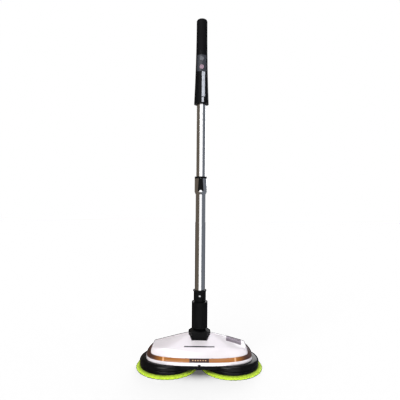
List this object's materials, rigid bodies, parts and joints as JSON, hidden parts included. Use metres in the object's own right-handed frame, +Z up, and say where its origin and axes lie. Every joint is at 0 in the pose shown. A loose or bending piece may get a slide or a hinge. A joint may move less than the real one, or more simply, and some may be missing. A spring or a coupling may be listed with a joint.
{
  "type": "cordless twin-disc spin mop",
  "caption": "Cordless upright spin mop: low motor head on counter-rotating round pads, a tilting pole joint, a telescopic tube with a slide lock and a handle with push buttons.",
  "frame": {"origin": "on the floor, midway between the two pads, under the pole", "axes": "+Z up along the upright pole, +X to the right across the head as seen from the front, -Y is the lamp side (front)"},
  "size_m": [0.393, 0.195, 1.0846],
  "materials": {
    "white_gloss": "glossy moulded white with a faint lavender cast",
    "amber_lens": "tinted amber lens, glossy",
    "dark_lens": "dark tinted lens, glossy",
    "led_glow": "lit lamp domes",
    "status_black": "black status lens",
    "label_mauve": "satin plate",
    "clip_brown": "dark brown, matte",
    "black_gloss": "glossy moulded black",
    "black_plastic": "fine satin moulded black",
    "grip_rubber": "soft-touch overmould",
    "panel_grey": "satin grey",
    "power_key_grey": "satin dark grey",
    "mode_key_mauve": "glossy pale mauve",
    "stripe_pale": "pale inlay",
    "tube_aluminium": "polished and anodised, silver",
    "steel": "bright zinc or ground steel",
    "spring_steel": "spring wire",
    "nylon": "natural nylon",
    "seal_rubber": "nitrile",
    "circuit_green": "solder mask",
    "cell_wrap": "shrink wrap",
    "cable_black": "coiled lead, satin",
    "hook_fabric": "hook tape",
    "pad_microfibre": "looped microfibre pile, lime"
  },
  "bodies": {
    "head": {"top_shell": "white_gloss", "light_band": "amber_lens", "led_window": "dark_lens", "front_leds": "led_glow", "led_board": "circuit_green", "status_bar": "status_black", "label_plate": "label_mauve", "band_clips": "clip_brown", "chassis": "black_gloss", "chassis_screws": "steel", "battery_tray": "black_plastic", "battery_cells": "cell_wrap", "control_board": "circuit_green", "charge_socket": "black_plastic", "drive_motors": "steel", "motor_screws": "steel", "gear_plates": "black_plastic", "plate_screws": "steel", "spindle_bearings": "steel", "spindle_seals": "seal_rubber", "tilt_pin": "steel"},
    "tilt_joint": {"tilt_yoke": "black_plastic", "swing_pin": "steel"},
    "pole_base": {"outer_tube": "tube_aluminium", "lock_collar": "black_plastic", "lock_roller": "steel", "lock_spring": "spring_steel", "coil_cable": "cable_black", "pole_socket": "black_plastic", "socket_screw": "steel", "swivel_knuckle": "black_plastic", "knuckle_screws": "steel"},
    "lock_slide": {"lock_slider": "black_plastic"},
    "upper_pole": {"grip_sleeve": "grip_rubber", "handle_front_shell": "black_plastic", "handle_rear_shell": "black_plastic", "control_panel": "panel_grey", "button_board": "circuit_green", "handle_screws": "steel", "handle_stripe": "stripe_pale", "inner_tube": "tube_aluminium", "glide_bush": "black_plastic", "power_spring": "spring_steel", "mode_spring": "spring_steel"},
    "power_key": {"power_button": "power_key_grey"},
    "mode_key": {"mode_button": "mode_key_mauve"},
    "left_motor_shaft": {"left_pinion": "steel"},
    "right_motor_shaft": {"right_pinion": "steel"},
    "left_spinner": {"left_spindle": "steel", "left_drive_gear": "nylon", "left_pad_disc": "black_gloss", "left_hook_ring": "hook_fabric", "left_pad": "pad_microfibre"},
    "right_spinner": {"right_spindle": "steel", "right_drive_gear": "nylon", "right_pad_disc": "black_gloss", "right_hook_ring": "hook_fabric", "right_pad": "pad_microfibre"}
  },
  "joints": [
    {"name": "handle_tilt", "type": "hinge", "parent": "head", "child": "tilt_joint", "pos_m": [0, 0.006, 0.095], "axis": [-1, 0, 0], "range_deg": [0, 75]},
    {"name": "handle_swing", "type": "hinge", "parent": "tilt_joint", "child": "pole_base", "pos_m": [0, 0, 0.11], "axis": [0, 1, 0], "range_deg": [-10, 10]},
    {"name": "telescope", "type": "slide", "parent": "pole_base", "child": "upper_pole", "axis": [0, 0, 1], "range_m": [-0.222, 0.1665], "deforming": ["coil_cable"]},
    {"name": "lock_release", "type": "slide", "parent": "pole_base", "child": "lock_slide", "axis": [0, 0, -1], "range_m": [0, 0.007], "stiffness_N_per_m": 400, "springref_m": -0.004, "deforming": ["lock_spring"]},
    {"name": "power_press", "type": "slide", "parent": "upper_pole", "child": "power_key", "axis": [0, 1, 0], "range_m": [0, 0.0012], "stiffness_N_per_m": 900, "springref_m": -0.001, "deforming": ["power_spring"]},
    {"name": "mode_press", "type": "slide", "parent": "upper_pole", "child": "mode_key", "axis": [0, 1, 0], "range_m": [0, 0.0012], "stiffness_N_per_m": 900, "springref_m": -0.001, "deforming": ["mode_spring"]},
    {"name": "left_pad_spin", "type": "hinge", "parent": "head", "child": "left_spinner", "pos_m": [-0.099, 0, 0.01], "axis": [0, 0, 1], "continuous": true},
    {"name": "right_pad_spin", "type": "hinge", "parent": "head", "child": "right_spinner", "pos_m": [0.099, 0, 0.01], "axis": [0, 0, 1], "continuous": true},
    {"name": "left_motor_spin", "type": "hinge", "parent": "head", "child": "left_motor_shaft", "pos_m": [-0.064, 0, 0.03], "axis": [0, 0, 1], "continuous": true},
    {"name": "right_motor_spin", "type": "hinge", "parent": "head", "child": "right_motor_shaft", "pos_m": [0.064, 0, 0.03], "axis": [0, 0, 1], "continuous": true}
  ],
  "couplings": [
    {"joint": "right_pad_spin", "follows": "left_pad_spin", "ratio": -1},
    {"joint": "left_motor_spin", "follows": "left_pad_spin", "ratio": -4},
    {"joint": "right_motor_spin", "follows": "left_pad_spin", "ratio": 4}
  ]
}
